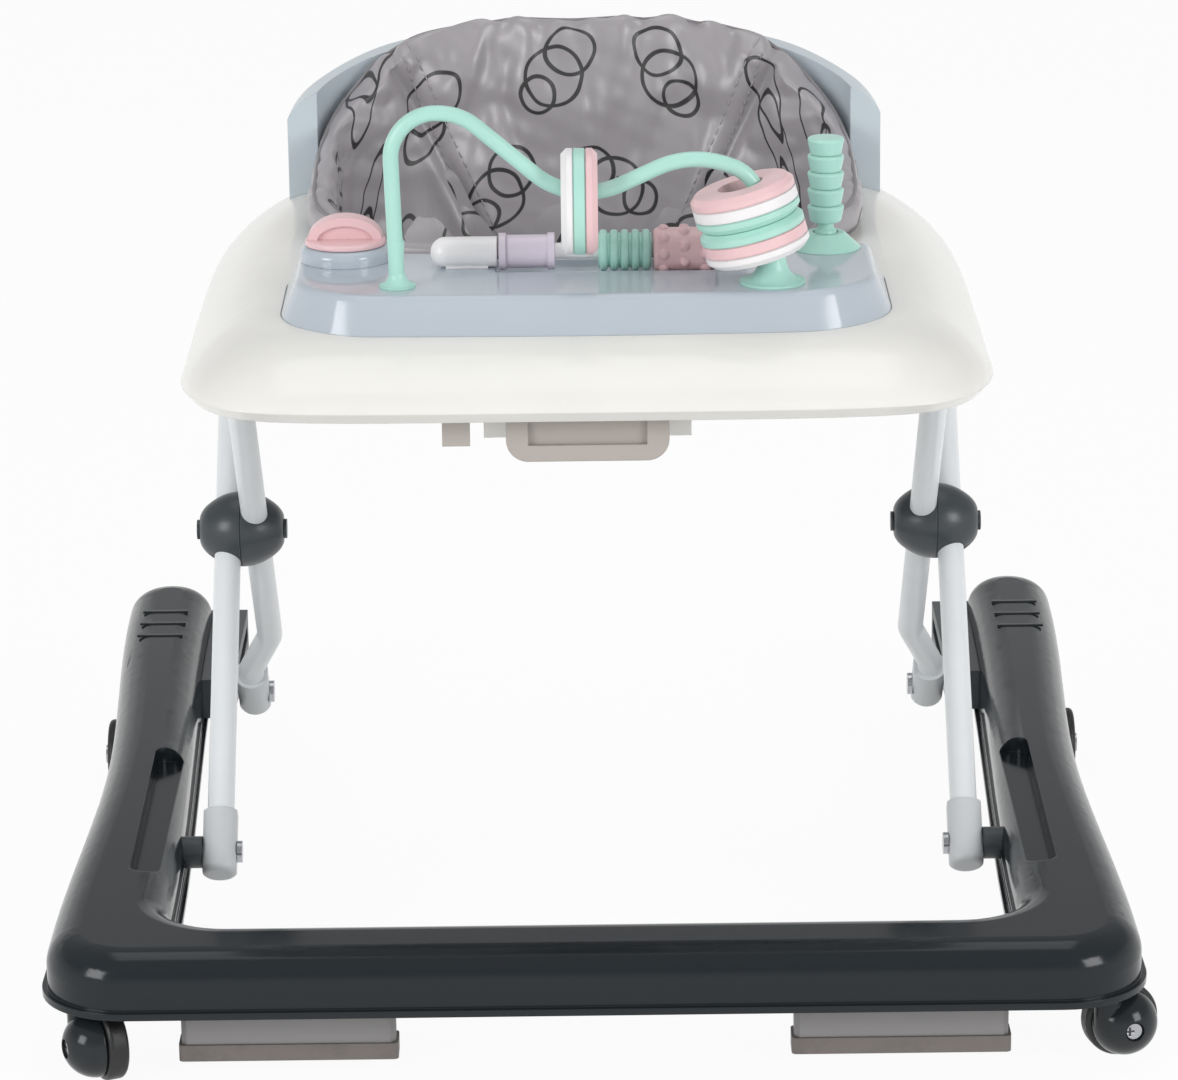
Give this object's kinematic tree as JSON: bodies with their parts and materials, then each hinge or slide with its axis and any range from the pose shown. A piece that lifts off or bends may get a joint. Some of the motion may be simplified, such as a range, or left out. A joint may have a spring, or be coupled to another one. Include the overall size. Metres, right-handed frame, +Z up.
{
  "type": "baby walker",
  "caption": "Folding baby walker: U-shaped base on casters and wheels, scissor legs, domed tray with toy panel, and a padded sling seat.",
  "frame": {"origin": "on the floor under the middle of the base's length and width", "axes": "+Z up, +Y towards the open rear of the base, -Y towards the toy tray's front, +X to the right as seen from the front"},
  "size_m": [0.6327, 0.6699, 0.5386],
  "materials": {
    "dark_shell": "gloss moulded",
    "dark_satin": "satin moulded",
    "light_tube": "satin powder coat",
    "light_cap": "satin moulded",
    "tray_white": "gloss moulded",
    "panel_blue": "semi-gloss moulded",
    "seat_fabric": "padded woven cloth",
    "tyre_black": "matt",
    "steel": "plain",
    "stopper_grey": "satin moulded",
    "stopper_rubber": "matt",
    "handle_cream": "satin moulded",
    "mint_toy": "gloss moulded",
    "pink_toy": "gloss moulded",
    "white_toy": "gloss moulded",
    "lavender_toy": "gloss moulded"
  },
  "bodies": {
    "base": {"base_shell": "dark_shell", "left_stopper_holder": "stopper_grey", "right_stopper_holder": "stopper_grey", "left_stopper_strip": "stopper_rubber", "right_stopper_strip": "stopper_rubber", "left_slide_rail": "dark_satin", "right_slide_rail": "dark_satin", "front_pivot_spacers": "dark_satin", "front_pivot_bolts": "steel", "rear_axles": "steel"},
    "left_caster": {"left_caster_hood": "dark_shell", "left_caster_stem": "steel", "left_caster_axle": "steel"},
    "right_caster": {"right_caster_hood": "dark_shell", "right_caster_stem": "steel", "right_caster_axle": "steel"},
    "left_front_wheel": {"left_caster_wheel": "tyre_black"},
    "right_front_wheel": {"right_caster_wheel": "tyre_black"},
    "left_rear_wheel": {"left_rear_wheel": "tyre_black"},
    "right_rear_wheel": {"right_rear_wheel": "tyre_black"},
    "outer_legs": {"left_outer_leg": "light_tube", "right_outer_leg": "light_tube", "outer_crossbar": "light_tube", "left_outer_foot_cap": "light_cap", "right_outer_foot_cap": "light_cap", "left_joint_outer_half": "dark_satin", "right_joint_outer_half": "dark_satin", "joint_pins": "steel"},
    "inner_legs": {"left_inner_leg": "light_tube", "right_inner_leg": "light_tube", "inner_crossbar": "light_tube", "left_inner_foot_cap": "light_cap", "right_inner_foot_cap": "light_cap", "left_joint_inner_half": "dark_satin", "right_joint_inner_half": "dark_satin", "slide_pins": "steel"},
    "tray": {"tray_shell": "tray_white", "toy_panel": "panel_blue", "backrest": "panel_blue", "seat_pad": "seat_fabric", "seat_sling": "seat_fabric", "left_rack_plate": "dark_satin", "right_rack_plate": "dark_satin", "rear_hinge_brackets": "tray_white", "tray_screws": "steel", "bead_wire": "mint_toy", "roller_bar": "white_toy", "dial_boss": "panel_blue", "lever_socket": "mint_toy", "handle_spring": "steel"},
    "height_handle": {"height_handle": "handle_cream"},
    "dial": {"dial": "pink_toy"},
    "bobbin_roller": {"bobbin_roller": "lavender_toy"},
    "ribbed_roller": {"ribbed_roller": "mint_toy"},
    "bumpy_roller": {"bumpy_roller": "pink_toy"},
    "swing_disc": {"swing_disc": "white_toy"},
    "upper_disc": {"upper_disc": "pink_toy"},
    "lower_disc": {"lower_disc": "mint_toy"},
    "lever": {"lever": "mint_toy"}
  },
  "joints": [
    {"name": "fold", "type": "hinge", "parent": "base", "child": "outer_legs", "pos_m": [0, -0.117, 0.063], "axis": [1, 0, 0], "range_deg": [-35, 0]},
    {"name": "scissor", "type": "hinge", "parent": "outer_legs", "child": "inner_legs", "pos_m": [0, 0.03421, 0.21795], "axis": [1, 0, 0], "range_deg": [0, 70]},
    {"name": "tray_level", "type": "hinge", "parent": "outer_legs", "child": "tray", "pos_m": [0, 0.18646, 0.37397], "axis": [1, 0, 0], "range_deg": [0, 35]},
    {"name": "handle_pull", "type": "slide", "parent": "tray", "child": "height_handle", "axis": [0, -1, 0], "range_m": [0, 0.01], "stiffness_N_per_m": 200, "deforming": ["handle_spring"]},
    {"name": "dial_turn", "type": "hinge", "parent": "tray", "child": "dial", "pos_m": [-0.134, -0.181, 0.45], "axis": [0, 0, 1], "continuous": true},
    {"name": "bobbin_spin", "type": "hinge", "parent": "tray", "child": "bobbin_roller", "pos_m": [-0.0325, -0.203, 0.4465], "axis": [1, 0, 0], "continuous": true},
    {"name": "ribbed_spin", "type": "hinge", "parent": "tray", "child": "ribbed_roller", "pos_m": [0.02175, -0.203, 0.4465], "axis": [1, 0, 0], "continuous": true},
    {"name": "bumpy_spin", "type": "hinge", "parent": "tray", "child": "bumpy_roller", "pos_m": [0.05475, -0.203, 0.4465], "axis": [1, 0, 0], "continuous": true},
    {"name": "swing_disc_spin", "type": "hinge", "parent": "tray", "child": "swing_disc", "pos_m": [-0.003, -0.248, 0.4845], "axis": [1, 0, 0], "continuous": true},
    {"name": "upper_disc_spin", "type": "hinge", "parent": "tray", "child": "upper_disc", "pos_m": [0.08708, -0.248, 0.48311], "axis": [-0.2588, 0, 0.9659], "continuous": true},
    {"name": "lower_disc_spin", "type": "hinge", "parent": "tray", "child": "lower_disc", "pos_m": [0.09233, -0.248, 0.4635], "axis": [-0.2588, 0, 0.9659], "continuous": true},
    {"name": "lever_tilt", "type": "hinge", "parent": "tray", "child": "lever", "pos_m": [0.135, -0.166, 0.445], "axis": [1, 0, 0], "range_deg": [-12, 12]},
    {"name": "left_caster_swivel", "type": "hinge", "parent": "base", "child": "left_caster", "pos_m": [-0.287, -0.303, 0.05], "axis": [0, 0, 1], "continuous": true},
    {"name": "right_caster_swivel", "type": "hinge", "parent": "base", "child": "right_caster", "pos_m": [0.287, -0.303, 0.05], "axis": [0, 0, 1], "continuous": true},
    {"name": "left_caster_roll", "type": "hinge", "parent": "left_caster", "child": "left_front_wheel", "pos_m": [-0.28235, -0.31297, 0.0215], "axis": [-0.9063, -0.4226, 0], "continuous": true},
    {"name": "right_caster_roll", "type": "hinge", "parent": "right_caster", "child": "right_front_wheel", "pos_m": [0.29762, -0.30015, 0.0215], "axis": [0.2588, -0.9659, 0], "continuous": true},
    {"name": "left_rear_roll", "type": "hinge", "parent": "base", "child": "left_rear_wheel", "pos_m": [-0.3075, 0.182, 0.0225], "axis": [1, 0, 0], "continuous": true},
    {"name": "right_rear_roll", "type": "hinge", "parent": "base", "child": "right_rear_wheel", "pos_m": [0.3075, 0.182, 0.0225], "axis": [1, 0, 0], "continuous": true}
  ],
  "couplings": [
    {"joint": "scissor", "follows": "fold", "ratio": -2},
    {"joint": "tray_level", "follows": "fold", "ratio": -1}
  ]
}
